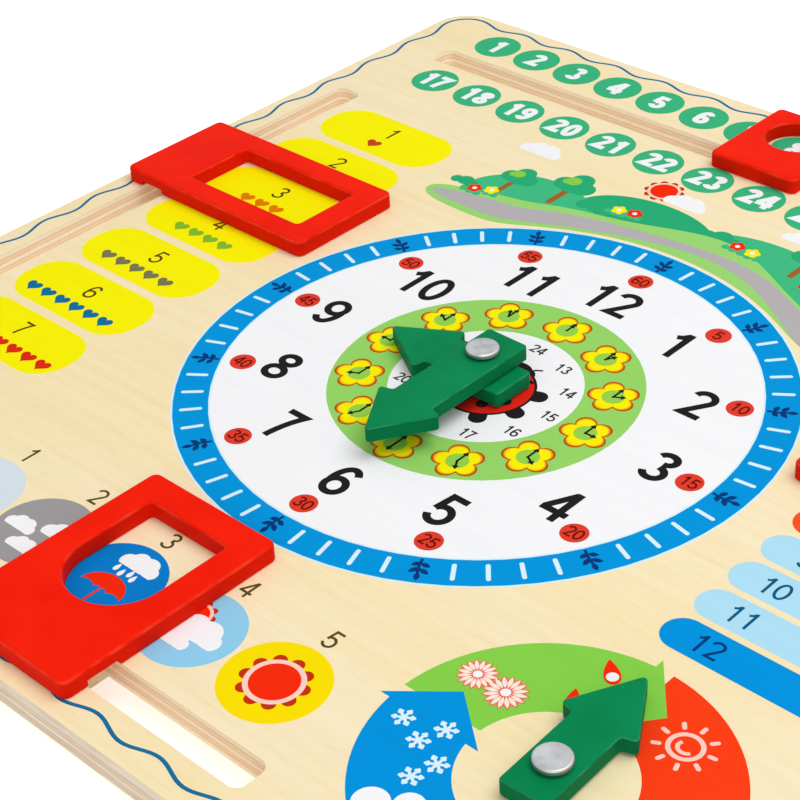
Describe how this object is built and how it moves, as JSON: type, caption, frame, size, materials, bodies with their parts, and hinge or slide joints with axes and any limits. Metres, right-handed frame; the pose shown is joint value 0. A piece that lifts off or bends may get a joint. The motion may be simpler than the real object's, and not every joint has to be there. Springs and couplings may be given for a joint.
{
  "type": "wooden calendar clock",
  "caption": "Square plywood teaching board with turning clock hands, a season pointer and sliding window frames that mark the day, date, month and weather.",
  "frame": {"origin": "under the middle of the board, on the surface that the retainer plates rest on", "axes": "+X to the right across the printed face, +Y towards twelve o'clock, +Z out of the printed face"},
  "size_m": [0.3, 0.3, 0.0206],
  "materials": {
    "birch_plywood": "matt varnish over printed ink",
    "red_painted_wood": "satin opaque paint",
    "green_painted_wood": "satin opaque paint",
    "plain_beech": "sanded, unfinished",
    "aluminium": "satin",
    "zinc_plated_steel": "satin zinc"
  },
  "bodies": {
    "board": {"board": "birch_plywood", "clock_rivet": "aluminium", "season_rivet": "aluminium", "clock_rivet_washer": "zinc_plated_steel", "season_rivet_washer": "zinc_plated_steel"},
    "date_carriage": {"date_washer": "zinc_plated_steel"},
    "date_slider": {"date_frame": "red_painted_wood", "date_peg": "plain_beech", "date_retainer": "plain_beech", "date_screw": "zinc_plated_steel"},
    "hour_hand": {"hour_hand": "green_painted_wood"},
    "minute_hand": {"minute_hand": "green_painted_wood"},
    "season_hand": {"season_hand": "green_painted_wood"},
    "day_slider": {"day_frame": "red_painted_wood", "day_guide_block": "plain_beech", "day_retainer": "plain_beech", "day_screws": "zinc_plated_steel"},
    "month_slider": {"month_frame": "red_painted_wood", "month_guide_block": "plain_beech", "month_retainer": "plain_beech", "month_screws": "zinc_plated_steel"},
    "weather_slider": {"weather_frame": "red_painted_wood", "weather_guide_block": "plain_beech", "weather_retainer": "plain_beech", "weather_screws": "zinc_plated_steel"}
  },
  "joints": [
    {"name": "day_slide", "type": "slide", "parent": "board", "child": "day_slider", "axis": [0, 1, 0], "range_m": [-0.09, 0.0499]},
    {"name": "month_slide", "type": "slide", "parent": "board", "child": "month_slider", "axis": [0, 1, 0], "range_m": [-0.0732, 0.0602]},
    {"name": "weather_slide", "type": "slide", "parent": "board", "child": "weather_slider", "axis": [1, 0, 0], "range_m": [-0.0581, 0.0527]},
    {"name": "date_slide", "type": "slide", "parent": "board", "child": "date_carriage", "axis": [1, 0, 0], "range_m": [-0.1188, 0.1374]},
    {"name": "date_turn", "type": "hinge", "parent": "date_carriage", "child": "date_slider", "pos_m": [-0.0093, 0.1195, 0.0101], "axis": [0, 0, 1], "range_deg": [0, 180]},
    {"name": "hour_hand_turn", "type": "hinge", "parent": "board", "child": "hour_hand", "pos_m": [0, -0.01, 0.0103], "axis": [0, 0, 1], "continuous": true},
    {"name": "minute_hand_turn", "type": "hinge", "parent": "board", "child": "minute_hand", "pos_m": [0, -0.01, 0.0103], "axis": [0, 0, 1], "continuous": true},
    {"name": "season_hand_turn", "type": "hinge", "parent": "board", "child": "season_hand", "pos_m": [0.0958, -0.0992, 0.0103], "axis": [0, 0, 1], "continuous": true}
  ]
}
